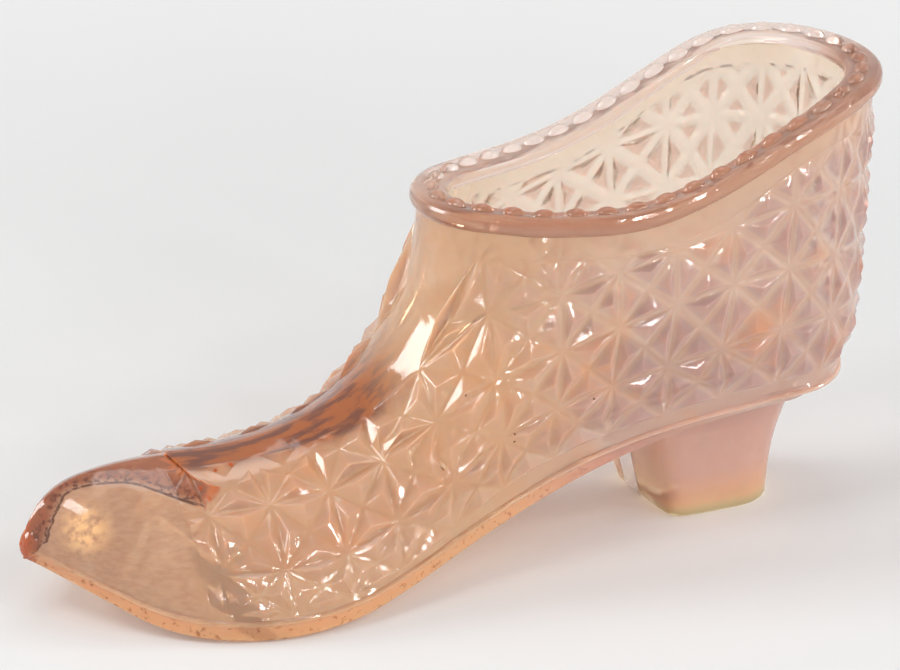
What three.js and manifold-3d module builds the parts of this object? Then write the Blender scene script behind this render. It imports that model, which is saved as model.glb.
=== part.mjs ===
// Pressed glass slipper, one pressing. Millimetres, +Z up, toe towards -X, standing on z = 0.
import * as THREE from 'three';
import { mergeVertices } from 'three/addons/utils/BufferGeometryUtils.js';
import Module from 'manifold-3d';

const wasm = await Module();
wasm.setup();

// Overall sizes
const LENGTH = 147;
const BACK_HEIGHT = 74.6;
const SOLE_WIDTH = 51.4;
const COLLAR_WIDTH = 44;
const WALL = 4.4;

// Sole and welt
const SOLE_THICKNESS = 3.2;
const SOLE_EDGE_OUT = 0.3;
const SEAT_EDGE_OUT = -3;
const TOE_SOLE_SHARE = 0.8;
const WELT_STAND_OUT = 0.5;
const FLOOR_ABOVE_WELT = 4.1;
const NOSE_FLOOR_RISE = 3.4;

// Rounding of the vamp, the collar's front and the back, as radii and as a power (2 is a circle)
const COLLAR_ROUND = 13.5;
const HEEL_ROUND = 14;
const BACK_ROUND = 20;
const VAMP_POWER = 1.3;
const CIRCLE = 2;

// Beaded rim
const RIM_HALF_WIDTH = 3.1;
const RIM_HALF_HEIGHT = 2.2;
const RIM_STAND_OUT = 1.5;
const WALL_TOP_BELOW_RIM = 1.6;
const BEAD_PITCH = 5;
const BEAD_DEPTH = 0.7;
const BEAD_STEPS = 4;
const RIM_SIDES = 8;

// Heel block
const HEEL_CORNER_FRONT = 7;
const HEEL_CORNER_BACK = 2.7;
const HEEL_STEPS = 20;

// Pressed pattern
const RELIEF = 1.3;
const PATTERN_LIFT = 0.3;
const PATTERN_ROOT = 1.4;
const PATTERN_ABOVE_WELT = 0.7;
const CREST_BAND = 3.2;
const COLLAR_FRONT_BAND = 8;
const SEAM_REACH = 0.03;
const SEAM_OVERLAP = 0.2;
const LONGEST_EDGE = 8;

// Fineness
const CURVE_STEPS = 12;
const RING_POINTS = 34;
const OUTER_RINGS = 13;
const INNER_RINGS = 9;
const CAP_RINGS = 2;
const RING_CROWDING = 1.3;
const BISECTIONS = 24;
const SLOPE_STEP = 0.05;
const WELD = 1e-4;

// The side view is drawn on a shoe of this length and height, then stretched to the sizes above
const DRAWN_LENGTH = 147;
const DRAWN_HEIGHT = 74.6;
const lengthways = (s) => s * LENGTH / DRAWN_LENGTH;
const upwards = (z) => z * BACK_HEIGHT / DRAWN_HEIGHT;
const drawn = (points) => points.map(([s, z]) => [lengthways(s), upwards(z)]);

// Places along the shoe, behind the toe tip
const TOE_CAP_END = lengthways(22.3);
const BAND_WIDENS = lengthways(35);
const VAMP_END = lengthways(50);
const COLLAR_FRONT = lengthways(68.3);
const QUARTER_START = lengthways(80);
const HEEL_FRONT = lengthways(104);
const SEAT_START = lengthways(120);
const HEEL_SEAT_END = lengthways(140.2);
const BACK_TOP = lengthways(145.5);
const HOLLOW_START = lengthways(18);
const HOLLOW_NOSE = lengthways(14);
const HOLLOW_END = HEEL_SEAT_END - WALL;

// Heights along the shoe
const soleRise = along(drawn([
  [0, 9], [5, 6.8], [10, 4.4], [15, 2], [20, 0.7], [28, 0], [38, 0.2], [48, 1.3], [60, 4.2], [72, 7.8],
  [84, 11.6], [96, 15], [108, 17.6], [120, 19], [130, 19.6], [141, 20.2],
]));
const rimHeight = along(drawn([
  [0, 59.4], [68, 59.4], [80, 58.9], [92, 58.9], [100, 60], [108, 62.5], [116, 66.1], [124, 70],
  [132, 73], [140, 74.3], [147, DRAWN_HEIGHT],
]));
const patternTop = along(drawn([
  [60, 50], [72, 51.2], [80, 51.6], [90, 51.4], [100, 52.2], [106, 53.6], [112, 56.4], [118, 60],
  [124, 63.4], [130, 65.6], [146, 67.4],
]));
const weltHeight = (s) => SOLE_THICKNESS + soleRise(s);
const wallTop = (s) => rimHeight(s) - WALL_TOP_BELOW_RIM;
const floorHeight = (s) => {
  const nose = 1 - smoothly(HOLLOW_START, HOLLOW_START + HOLLOW_NOSE, s);
  return weltHeight(s) + FLOOR_ABOVE_WELT + NOSE_FLOOR_RISE * nose;
};

// Widths along the shoe, as shares of the greatest, and the swell of the side between sole and collar
const soleShare = along([
  [0, 0], [5.5, 0.303], [14, 0.602], [24, 0.869], [35, 1], [46, 0.98], [56, 0.876], [66, 0.753], [76, 0.665],
  [86, 0.622], [96, 0.637], [108, 0.693], [120, 0.729], [141, 0.729],
].map(([s, share]) => [lengthways(s), share]));
const collarShare = along([
  [0, 0.636], [60, 0.6], [75, 0.627], [82, 0.718], [90, 0.841], [97, 0.918], [108, 0.973], [120, 1],
  [147, 1],
].map(([s, share]) => [lengthways(s), share]));
const sideSwell = along([
  [0, 0], [20, 1], [40, 1.5], [60, 3], [80, 3.2], [100, 2.2], [120, 1.4], [146, 1],
].map(([s, swell]) => [lengthways(s), swell]));

// Outlines of the side view: the ridge of toe, tongue and collar front, and the back
const RIDGE = spline([
  ...drawn([
    [0, 12.2], [1, 15.4], [3.6, 18.9], [8, 21.4], [15, 22.6], [23, 22.7], [31, 22.2], [38, 22.5], [45, 23.8],
    [52.5, 27], [58, 30.8], [62.6, 35.4], [66, 41], [67.8, 47], [68.4, 53],
  ]),
  [COLLAR_FRONT, wallTop(COLLAR_FRONT)],
]);
const BACK = spline([
  [HEEL_SEAT_END, weltHeight(HEEL_SEAT_END)],
  ...drawn([[142.4, 27], [143.2, 34], [143.6, 42], [143.9, 50], [144.4, 60]]),
  [BACK_TOP, wallTop(BACK_TOP)],
]);
const HOLLOW_RIDGE = [
  [HOLLOW_START, floorHeight(HOLLOW_START)],
  ...moved(RIDGE, WALL).filter(([s]) => s > HOLLOW_START + WALL),
  [COLLAR_FRONT + WALL, rimHeight(COLLAR_FRONT) + WALL],
];
const HOLLOW_BACK = [
  [HOLLOW_END, floorHeight(HOLLOW_END)],
  ...moved(BACK, -WALL).filter(([, z]) => z > floorHeight(HOLLOW_END) + WALL),
  [BACK_TOP - WALL, rimHeight(BACK_TOP) + WALL],
];
const ridgeHeight = along(RIDGE.filter(([s], i) => RIDGE.slice(0, i).every((before) => before[0] < s)));

// Star centres of the pattern in the side view, row by row from the welt up, from the toe to the back seam
const STARS = [
  [
    [15, 5.4], [24.5, 4.2], [34.5, 3.7], [45, 4.5], [54.3, 6.6], [64.2, 10.4], [73.5, 14.8], [83, 18],
    [92.5, 20.4], [102, 22.4], [111.5, 24], [121.5, 25], [130.5, 25.4], [136.8, 25.6], [140.7, 25.8],
  ],
  [
    [15.5, 10.8], [25, 10.4], [34.6, 10.2], [45, 10.9], [54.4, 13.8], [63.8, 18.6], [73, 24], [82.6, 27.3],
    [92, 29.6], [101.2, 31.5], [110.8, 33.1], [121.5, 34.9], [130.7, 35.8], [137.6, 36], [141.8, 36.1],
  ],
  [
    [16.5, 16.9], [26, 17], [36, 17.2], [45.5, 18], [54.8, 21.3], [62.9, 27.2], [72.2, 33.4], [83.2, 36.8],
    [92.5, 39.8], [102, 42.3], [112, 44.5], [122, 45.6], [130.5, 46], [137.6, 46.3], [142.1, 46.5],
  ],
  [
    [16.5, 21.8], [26, 21.6], [36, 21.4], [45.5, 22.6], [54.8, 26.8], [63.3, 33.5], [72.5, 43.3],
    [83.2, 46.1], [92.2, 49], [101.6, 51.6], [111.4, 54.3], [122.3, 56.4], [131, 57.2], [138, 57.4],
    [142.5, 57.5],
  ],
  [
    [16.5, 21.8], [26, 21.6], [36, 21.4], [45.5, 22.6], [54.8, 26.8], [63.3, 33.5], [72.8, 52.8],
    [83.3, 55.7], [92.3, 58.2], [101.6, 60.9], [111.2, 63.7], [122.2, 66.5], [131, 67.6], [138.3, 67.9],
    [143, 68.1],
  ],
].map((row) => drawn(row)).map((row) => [...row, atSeam(row[row.length - 1][1])]);

// A smooth curve through the points
function spline(points) {
  const line = [];
  const last = points.length - 1;
  const before = points[0].map((v, k) => 2 * v - points[1][k]);
  const after = points[last].map((v, k) => 2 * v - points[last - 1][k]);
  const all = [before, ...points, after];
  for (let i = 0; i < last; i += 1) {
    for (let j = 0; j < CURVE_STEPS; j += 1) {
      line.push(blend(all.slice(i, i + 4), j / CURVE_STEPS));
    }
  }
  line.push(points[last]);
  return line;
}

// Between the middle two of four points
function blend([a, b, c, d], t) {
  return b.map((v, k) => {
    const slope = c[k] - a[k];
    const bend = 2 * a[k] - 5 * v + 4 * c[k] - d[k];
    const turn = 3 * v - a[k] - 3 * c[k] + d[k];
    return v + 0.5 * (slope * t + bend * t * t + turn * t * t * t);
  });
}

// A smooth curve read by its first coordinate
function along(points) {
  const line = spline(points);
  return (s) => {
    let i = 1;
    while (i < line.length - 1 && line[i][0] < s) {
      i += 1;
    }
    const t = (s - line[i - 1][0]) / (line[i][0] - line[i - 1][0]);
    return THREE.MathUtils.lerp(line[i - 1][1], line[i][1], THREE.MathUtils.clamp(t, 0, 1));
  };
}

function between(p, q, t) {
  return [THREE.MathUtils.lerp(p[0], q[0], t), THREE.MathUtils.lerp(p[1], q[1], t)];
}

function reach(p, q) {
  return Math.hypot(q[0] - p[0], q[1] - p[1]);
}

// A point of a line by its share of the line's length
function pointAt(line, share) {
  let left = share * line.slice(1).reduce((sum, p, i) => sum + reach(line[i], p), 0);
  let i = 1;
  while (i < line.length - 1 && left > reach(line[i - 1], line[i])) {
    left -= reach(line[i - 1], line[i]);
    i += 1;
  }
  return between(line[i - 1], line[i], Math.min(left / reach(line[i - 1], line[i]), 1));
}

// A line moved to its right by a distance
function moved(line, distance) {
  return line.map((p, i) => {
    const a = line[Math.max(i - 1, 0)];
    const b = line[Math.min(i + 1, line.length - 1)];
    const length = reach(a, b);
    return [p[0] + distance * (b[1] - a[1]) / length, p[1] - distance * (b[0] - a[0]) / length];
  });
}

function distanceTo(line, p) {
  let best = Infinity;
  for (let i = 1; i < line.length; i += 1) {
    const a = line[i - 1];
    const ds = line[i][0] - a[0];
    const dz = line[i][1] - a[1];
    const t = ((p[0] - a[0]) * ds + (p[1] - a[1]) * dz) / (ds * ds + dz * dz);
    best = Math.min(best, reach(p, between(a, line[i], THREE.MathUtils.clamp(t, 0, 1))));
  }
  return best;
}

function atSeam(z) {
  const i = Math.max(1, BACK.findIndex((p) => p[1] > z));
  return between(BACK[i - 1], BACK[i], (z - BACK[i - 1][1]) / (BACK[i][1] - BACK[i - 1][1]));
}

// From 0 at the low value to 1 at the high value
function smoothly(low, high, value) {
  return THREE.MathUtils.smoothstep(value, low, high);
}

// A quarter round, from 0 at share 0 to 1 at share 1
function roundOff(share, power) {
  const left = 1 - THREE.MathUtils.clamp(share, 0, 1);
  return (1 - left * left) ** (1 / power);
}

// Share of the height between the welt and the rim
function upTheSide(s, z) {
  return THREE.MathUtils.clamp((z - weltHeight(s)) / (rimHeight(s) - weltHeight(s)), 0, 1);
}

// Width to one side before the rounding at front and back
function plainHalfWidth(s, z) {
  const up = upTheSide(s, z);
  const straight = THREE.MathUtils.lerp(SOLE_WIDTH * soleShare(s), COLLAR_WIDTH * collarShare(s), up) / 2;
  return straight + sideSwell(s) * 4 * up * (1 - up);
}

function vampPower(s) {
  return THREE.MathUtils.lerp(VAMP_POWER, CIRCLE, smoothly(VAMP_END, COLLAR_FRONT, s));
}

function vampHeight(s) {
  return Math.max(ridgeHeight(s) - weltHeight(s), 1);
}

function outerHalfWidth(s, z) {
  const front = THREE.MathUtils.lerp(vampHeight(s), COLLAR_ROUND, smoothly(VAMP_END, COLLAR_FRONT, s));
  const back = THREE.MathUtils.lerp(HEEL_ROUND, BACK_ROUND, upTheSide(s, z));
  return plainHalfWidth(s, z) * roundOff(distanceTo(RIDGE, [s, z]) / front, vampPower(s))
    * roundOff(distanceTo(BACK, [s, z]) / back, CIRCLE);
}

function hollowHalfWidth(s, z) {
  const nose = roundOff((s - HOLLOW_START) / HOLLOW_NOSE, CIRCLE);
  const height = Math.max(vampHeight(s) - 2 * WALL, 1);
  const front = THREE.MathUtils.lerp(height, COLLAR_ROUND - WALL / 2, smoothly(VAMP_END, COLLAR_FRONT, s));
  const back = THREE.MathUtils.lerp(HEEL_ROUND, BACK_ROUND, upTheSide(s, z)) - WALL / 2;
  return (plainHalfWidth(s, z) - WALL) * nose
    * roundOff(distanceTo(HOLLOW_RIDGE, [s, z]) / front, vampPower(s))
    * roundOff(distanceTo(HOLLOW_BACK, [s, z]) / back, CIRCLE);
}

// A grid point of the side view, between four edge lines. Near is crowded towards the front and the back.
function sidePoint(edges, near, up) {
  const r = (1 - Math.cos(Math.PI * near)) / 2;
  const level = between(edges.bottom(r), edges.top(r), up);
  const upright = between(pointAt(edges.front, up), pointAt(edges.back, up), r);
  const low = between(edges.bottom(0), edges.bottom(1), r);
  const high = between(edges.top(0), edges.top(1), r);
  const corners = between(low, high, up);
  return [level[0] + upright[0] - corners[0], level[1] + upright[1] - corners[1]];
}

// One level round the shoe: the near side from front to back, then the far side back to the front
function ring(edges, halfWidth, up) {
  const near = [];
  for (let i = 0; i <= RING_POINTS; i += 1) {
    const [s, z] = sidePoint(edges, i / RING_POINTS, up);
    const onCentre = i === 0 || i === RING_POINTS;
    near.push(new THREE.Vector3(s, onCentre ? 0 : -halfWidth(s, z), z));
  }
  return closeRing(near);
}

function closeRing(near) {
  const far = near.slice(1, -1).reverse().map((p) => new THREE.Vector3(p.x, -p.y, p.z));
  return near.concat(far);
}

// Moves a ring outwards in plan, and up, but not under the table
function offsetRing(points, out, up) {
  const n = points.length;
  return points.map((p, i) => {
    const a = points[(i + n - 1) % n];
    const b = points[(i + 1) % n];
    const inward = new THREE.Vector3(a.y - b.y, b.x - a.x, 0).normalize();
    const at = p.clone().addScaledVector(inward, -out(p.x));
    return at.setZ(Math.max(p.z + up(p.x), 0));
  });
}

function narrowed(points, share) {
  return points.map((p) => new THREE.Vector3(p.x, p.y * share, p.z));
}

// A closed body through a list of rings, closed along the centre line at both ends
function solidFromRings(rings) {
  const shares = Array.from({ length: CAP_RINGS }, (_, i) => i / CAP_RINGS);
  const first = shares.map((share) => narrowed(rings[0], share));
  const last = shares.map((share) => narrowed(rings[rings.length - 1], share)).reverse();
  const all = [...first, ...rings, ...last];
  const n = all[0].length;
  const index = [];
  for (let k = 0; k < all.length - 1; k += 1) {
    for (let i = 0; i < n; i += 1) {
      const j = (i + 1) % n;
      const [a, b, c, d] = [k * n + i, k * n + j, (k + 1) * n + j, (k + 1) * n + i];
      index.push(a, b, c, a, c, d);
    }
  }
  return manifold(all.flat(), index);
}

// A body from points and triangles. Points in one place become one, and triangles without area go.
function manifold(points, index) {
  const loose = new THREE.BufferGeometry();
  loose.setFromPoints(points);
  loose.setIndex(index);
  const welded = mergeVertices(loose, WELD);
  const corners = welded.index.array;
  const kept = [];
  for (let i = 0; i < corners.length; i += 3) {
    const [a, b, c] = [corners[i], corners[i + 1], corners[i + 2]];
    if (a !== b && b !== c && a !== c) {
      kept.push(a, b, c);
    }
  }
  return new wasm.Manifold(new wasm.Mesh({
    numProp: 3,
    vertProperties: new Float32Array(welded.attributes.position.array),
    triVerts: new Uint32Array(kept),
  }));
}

function geometryOf(body) {
  const mesh = body.getMesh();
  const geometry = new THREE.BufferGeometry();
  geometry.setAttribute('position', new THREE.Float32BufferAttribute(mesh.vertProperties, 3));
  geometry.setIndex(Array.from(mesh.triVerts));
  return geometry;
}

const outerEdges = {
  bottom: (r) => [HEEL_SEAT_END * r, weltHeight(HEEL_SEAT_END * r)],
  top: (r) => {
    const s = THREE.MathUtils.lerp(COLLAR_FRONT, BACK_TOP, r);
    return [s, wallTop(s)];
  },
  front: RIDGE,
  back: BACK,
};

const hollowEdges = {
  bottom: (r) => {
    const s = THREE.MathUtils.lerp(HOLLOW_START, HOLLOW_END, r);
    return [s, floorHeight(s)];
  },
  top: (r) => {
    const s = THREE.MathUtils.lerp(COLLAR_FRONT + WALL, BACK_TOP - WALL, r);
    return [s, rimHeight(THREE.MathUtils.lerp(COLLAR_FRONT, BACK_TOP, r)) + WALL];
  },
  front: HOLLOW_RIDGE,
  back: HOLLOW_BACK,
};

function levels(edges, halfWidth, count) {
  return Array.from({ length: count + 1 }, (_, k) => ring(edges, halfWidth, (k / count) ** RING_CROWDING));
}

// Outside of the shoe with its welt and sole, before it is hollowed
function outside() {
  const rings = levels(outerEdges, outerHalfWidth, OUTER_RINGS);
  const toe = (s) => smoothly(0, HOLLOW_START, s);
  const thickness = (s) => SOLE_THICKNESS * THREE.MathUtils.lerp(TOE_SOLE_SHARE, 1, toe(s));
  const atSeat = (s) => smoothly(QUARTER_START, SEAT_START, s);
  const edgeOut = (s) => toe(s) * THREE.MathUtils.lerp(SOLE_EDGE_OUT, SEAT_EDGE_OUT, atSeat(s));
  const welt = offsetRing(rings[0], () => WELT_STAND_OUT, () => 0);
  const edge = offsetRing(rings[0], edgeOut, (s) => -thickness(s));
  return solidFromRings([edge, welt, ...rings.slice(1)]);
}

function hollow() {
  return solidFromRings(levels(hollowEdges, hollowHalfWidth, INNER_RINGS));
}

// Cross-section of the rim where its top is sunk by a groove between two beads
function rimSection(centre, out, sink) {
  return Array.from({ length: RIM_SIDES }, (_, k) => {
    const angle = 2 * Math.PI * (k + 0.5) / RIM_SIDES;
    const groove = Math.sin(angle) > 0 ? sink : 0;
    const width = RIM_HALF_WIDTH * Math.cos(angle) - Math.sign(Math.cos(angle)) * groove / 2;
    const height = RIM_HALF_HEIGHT * Math.sin(angle) / Math.cos(Math.PI / RIM_SIDES) - groove;
    return centre.clone().addScaledVector(out, width).add(new THREE.Vector3(0, 0, height));
  });
}

// Swept round the top of the wall, with a bead every BEAD_PITCH
function beadedRim() {
  const top = ring(outerEdges, outerHalfWidth, 1);
  const out = RIM_STAND_OUT - RIM_HALF_WIDTH;
  const up = WALL_TOP_BELOW_RIM - RIM_HALF_HEIGHT;
  const middle = offsetRing(top, () => out, () => up);
  const path = new THREE.CatmullRomCurve3(middle, true);
  const count = Math.round(path.getLength() / BEAD_PITCH) * BEAD_STEPS;
  const centres = path.getSpacedPoints(count).slice(0, count);
  const points = centres.flatMap((centre, i) => {
    const ahead = centres[(i + 1) % count].clone().sub(centres[(i + count - 1) % count]);
    const aside = new THREE.Vector3(-ahead.y, ahead.x, 0).normalize();
    const sink = BEAD_DEPTH * (1 - Math.abs(Math.sin(Math.PI * i / BEAD_STEPS)));
    return rimSection(centre, aside, sink);
  });
  const index = [];
  for (let i = 0; i < count; i += 1) {
    for (let k = 0; k < RIM_SIDES; k += 1) {
      const [here, next] = [i * RIM_SIDES, ((i + 1) % count) * RIM_SIDES];
      const [a, b, c, d] = [here + k, here + (k + 1) % RIM_SIDES, next + k, next + (k + 1) % RIM_SIDES];
      index.push(a, b, d, a, d, c);
    }
  }
  return manifold(points, index);
}

// One level of the heel: square in front, rounded behind
function heelLevel([z, front, back, halfWidth]) {
  const middle = front + halfWidth;
  const near = [];
  for (let i = 0; i <= HEEL_STEPS; i += 1) {
    const angle = Math.PI * i / HEEL_STEPS;
    const inFront = angle < Math.PI / 2;
    const share = 2 / (inFront ? HEEL_CORNER_FRONT : HEEL_CORNER_BACK);
    const run = Math.abs(Math.cos(angle)) ** share * (inFront ? front - middle : back - middle);
    const onCentre = i === 0 || i === HEEL_STEPS;
    near.push(new THREE.Vector3(middle + run, onCentre ? 0 : -halfWidth * Math.sin(angle) ** share, z));
  }
  return closeRing(near);
}

// Height, front, back and half width of the heel, from its foot to inside the sole
function heelBlock() {
  const profile = [
    [0, 107.8, 127.9, 10.7],
    [0.4, 107.4, 128.4, 11.1],
    [5, 106.3, 128.9, 11.2],
    [10, 105.2, 129.8, 11.6],
    [15, 104.3, 131.4, 12.4],
    [20.5, 103.4, 133.4, 13.6],
  ];
  return solidFromRings(profile.map(([z, front, back, halfWidth]) => (
    heelLevel([upwards(z), lengthways(front), lengthways(back), halfWidth])
  )));
}

// Above 0 where the pattern is pressed, below 0 on the plain bands
function patternRoom([s, z]) {
  const crest = THREE.MathUtils.lerp(CREST_BAND, COLLAR_FRONT_BAND, smoothly(BAND_WIDENS, COLLAR_FRONT, s));
  const fromCrest = s < HEEL_FRONT ? outerHalfWidth(s, z) - crest : Infinity;
  return Math.min(fromCrest, patternTop(s) - z, z - weltHeight(s) - PATTERN_ABOVE_WELT, s - TOE_CAP_END);
}

// Where an edge leaves the pattern
function edgeOfPattern(pressed, plain) {
  let [a, b] = [pressed, plain];
  for (let i = 0; i < BISECTIONS; i += 1) {
    const middle = between(a, b, 0.5);
    if (patternRoom(middle) > 0) {
      a = middle;
    } else {
      b = middle;
    }
  }
  return a;
}

function clipToPattern(polygon) {
  return polygon.flatMap((p, i) => {
    const q = polygon[(i + 1) % polygon.length];
    const pressed = [patternRoom(p) > 0, patternRoom(q) > 0];
    const kept = pressed[0] ? [p] : [];
    if (pressed[0] !== pressed[1]) {
      kept.push(pressed[0] ? edgeOfPattern(p, q) : edgeOfPattern(q, p));
    }
    return kept;
  });
}

function splitLongEdges(polygon) {
  return polygon.flatMap((p, i) => {
    const q = polygon[(i + 1) % polygon.length];
    return onSurface(p, 0).distanceTo(onSurface(q, 0)) > LONGEST_EDGE ? [p, between(p, q, 0.5)] : [p];
  });
}

// A point of the near side, lifted along the surface's normal. At the back seam both sides reach over the middle.
function onSurface([s, z], lift) {
  if (distanceTo(BACK, [s, z]) < SEAM_REACH) {
    return new THREE.Vector3(s + lift, SEAM_OVERLAP, z);
  }
  const y = outerHalfWidth(s, z);
  const slopeS = outerHalfWidth(s + SLOPE_STEP, z) - outerHalfWidth(s - SLOPE_STEP, z);
  const slopeZ = outerHalfWidth(s, z + SLOPE_STEP) - outerHalfWidth(s, z - SLOPE_STEP);
  const normal = new THREE.Vector3(-slopeS, -2 * SLOPE_STEP, -slopeZ).normalize();
  return new THREE.Vector3(s, -y, z).addScaledVector(normal, lift);
}

function centreOf(polygon) {
  return [0, 1].map((k) => polygon.reduce((sum, p) => sum + p[k], 0) / polygon.length);
}

// Height of the point over a cell. Cells that are cut small rise less.
function riseOf(polygon) {
  const corners = polygon.map((p) => onSurface(p, 0));
  const middle = onSurface(centreOf(polygon), 0);
  let area = 0;
  let around = 0;
  corners.forEach((a, i) => {
    const b = corners[(i + 1) % corners.length];
    area += new THREE.Triangle(a, b, middle).getArea();
    around += a.distanceTo(b);
  });
  return RELIEF * Math.min(1, area / around);
}

function onOneLine([a, b, c]) {
  return Math.abs((b[0] - a[0]) * (c[1] - a[1]) - (b[1] - a[1]) * (c[0] - a[0])) < WELD;
}

// The triangles between the stars: each square between four stars is split from its middle
function patternCells() {
  const cells = [];
  for (let row = 1; row < STARS.length; row += 1) {
    for (let i = 1; i < STARS[row].length; i += 1) {
      const square = [STARS[row - 1][i - 1], STARS[row - 1][i], STARS[row][i], STARS[row][i - 1]];
      square.forEach((p, k) => cells.push([p, square[(k + 1) % 4], centreOf(square)]));
    }
  }
  const open = cells.filter((cell) => !onOneLine(cell));
  return open.map((cell) => clipToPattern(cell)).filter((cell) => cell.length > 2);
}

// One side's pattern as a sheet that is rooted in the wall: every cell rises to a point
function patternSheet() {
  const points = [];
  const known = new Map();
  const triangles = [];
  const border = new Map();
  const vertex = (p, lift) => {
    const name = `${p[0].toFixed(3)} ${p[1].toFixed(3)} ${lift.toFixed(3)}`;
    if (!known.has(name)) {
      known.set(name, points.push(onSurface(p, lift)) - 1);
    }
    return known.get(name);
  };
  patternCells().forEach((cell) => {
    const tip = vertex(centreOf(cell), PATTERN_LIFT + riseOf(cell));
    const root = vertex(centreOf(cell), -PATTERN_ROOT);
    const polygon = splitLongEdges(cell);
    polygon.forEach((p, i) => {
      const q = polygon[(i + 1) % polygon.length];
      const [a, b] = [vertex(p, PATTERN_LIFT), vertex(q, PATTERN_LIFT)];
      const [c, d] = [vertex(p, -PATTERN_ROOT), vertex(q, -PATTERN_ROOT)];
      triangles.push(a, b, tip, d, c, root);
      if (!border.delete(`${b} ${a}`)) {
        border.set(`${a} ${b}`, [a, b, c, d]);
      }
    });
  });
  border.forEach(([a, b, c, d]) => triangles.push(b, a, c, b, c, d));
  return manifold(points, triangles);
}

function glassSlipper() {
  const nearPattern = patternSheet();
  const farPattern = nearPattern.mirror([0, 1, 0]);
  return outside().subtract(hollow()).add(nearPattern).add(farPattern).add(beadedRim()).add(heelBlock());
}

const geometry = geometryOf(glassSlipper());
geometry.computeBoundingBox();
const material = new THREE.MeshStandardMaterial({ color: 0xd9a284, roughness: 0.08, metalness: 0 });
const slipper = new THREE.Mesh(geometry, material);
slipper.name = 'glass_slipper';
slipper.position.x = -(geometry.boundingBox.min.x + geometry.boundingBox.max.x) / 2;

const group = new THREE.Group();
group.add(slipper);

export default group;
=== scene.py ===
import math

import bpy
import bmesh
import numpy as np
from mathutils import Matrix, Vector
from mathutils.bvhtree import BVHTree


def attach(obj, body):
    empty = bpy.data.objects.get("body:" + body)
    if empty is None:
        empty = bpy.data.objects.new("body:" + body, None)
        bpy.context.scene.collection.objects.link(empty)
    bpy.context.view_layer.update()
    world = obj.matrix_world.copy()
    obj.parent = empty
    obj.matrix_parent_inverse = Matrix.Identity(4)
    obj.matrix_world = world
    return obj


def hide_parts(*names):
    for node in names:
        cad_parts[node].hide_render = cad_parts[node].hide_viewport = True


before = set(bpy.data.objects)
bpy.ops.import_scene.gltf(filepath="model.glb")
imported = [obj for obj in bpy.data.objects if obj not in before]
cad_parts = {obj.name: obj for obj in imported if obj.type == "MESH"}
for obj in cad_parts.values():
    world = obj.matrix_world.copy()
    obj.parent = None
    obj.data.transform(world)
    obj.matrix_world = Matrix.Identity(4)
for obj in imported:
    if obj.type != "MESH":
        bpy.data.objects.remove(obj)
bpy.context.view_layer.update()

# The look of a pressed glass slipper. The sizes in this file are millimetres, as in the CAD source,
# and MM turns them into the metres of the frame. s runs back from the toe tip and z runs up.
MM = 0.001
TOE_TO_CENTRE = 73.132

# Overall sizes
LENGTH = 147
BACK_HEIGHT = 74.6
SOLE_WIDTH = 51.4
COLLAR_WIDTH = 44
WALL = 4.4

# Sole and welt
SOLE_THICKNESS = 3.2
SOLE_EDGE_OUT = 0.3
SEAT_EDGE_OUT = -3
WELT_OUT = 0.42
TOE_SOLE_SHARE = 0.8
FLOOR_ABOVE_WELT = 4.1
FLOOR_ROUND = 3.5
NOSE_FLOOR_RISE = 3.4

# Rounding of the vamp, the collar's front and the back
COLLAR_ROUND = 13.5
HEEL_ROUND = 14
BACK_ROUND = 20
VAMP_POWER = 1.3
CIRCLE = 2

# Beaded rim: the angles are degrees up from straight out
RIM_HALF_WIDTH = 3.1
RIM_HALF_HEIGHT = 2.2
RIM_STAND_OUT = 1.25
WALL_TOP_BELOW_RIM = 1.6
BEAD_PITCH = 5
BEAD_DEPTH = 1.05
BEAD_RADIUS = 1.45
BEAD_HALF_LENGTH = 2.05
BEAD_ANGLE = 101
BEAD_BED_ANGLE = 48
RIM_FULLNESS = 0.9

# Pressed pattern
PATTERN_LIFT = 0.06
PATTERN_ROOT = 1.4
RELIEF_SHARE = 0.34
PATTERN_ABOVE_WELT = 0.7
CREST_BAND = 3.2
COLLAR_FRONT_BAND = 8
GROOVE_HALF = 0.24
EDGE_ROUND = 0.2
CREST_LIFT = 0.45
LONGEST_EDGE = 3.2
SMALLEST_CELL = 1.1
SHARP_ANGLE = 0.16
SEAM_ROOM = 3
CUT_STEPS = 24

# Heel: how square its outline is in front and behind, where 2 is an ellipse
HEEL_FRONT_SQUARENESS = 7
HEEL_BACK_SQUARENESS = 2.7
HEEL_CORNERS = 96

# Plain band over the ridge of the vamp
BAND_END = 61
BAND_HALF_FRONT = 9.5
BAND_HALF_BACK = 8
BAND_COLUMNS = 31
BAND_ROWS = 46

# The small lump of glass at the toe tip
NUB_PLACE = (1.5, 0, 12.2)
NUB_HALF_SIZES = (1.7, 2.2, 2.7)
NUB_LEAN = -20

# How finely the body is divided
OUTER_COLUMNS = 141
OUTER_ROWS = 56
OUTER_ROWS_CROWDED = 1.3
HOLLOW_COLUMNS = 101
RIM_COLUMNS = 241
RIM_SIDES = 28
STEPS_A_BEAD = 4
MERGE_REACH = 0.002

# Places along the shoe
TOE_CAP_END = 22.3
BAND_WIDENS = 35
VAMP_END = 50
COLLAR_FRONT = 68.3
QUARTER_START = 80
HEEL_FRONT = 104
SEAT_START = 120
HEEL_SEAT_END = 140.2
BACK_TOP = 145.5
HOLLOW_START = 18
HOLLOW_NOSE = 14
HOLLOW_END = HEEL_SEAT_END - WALL

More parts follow.
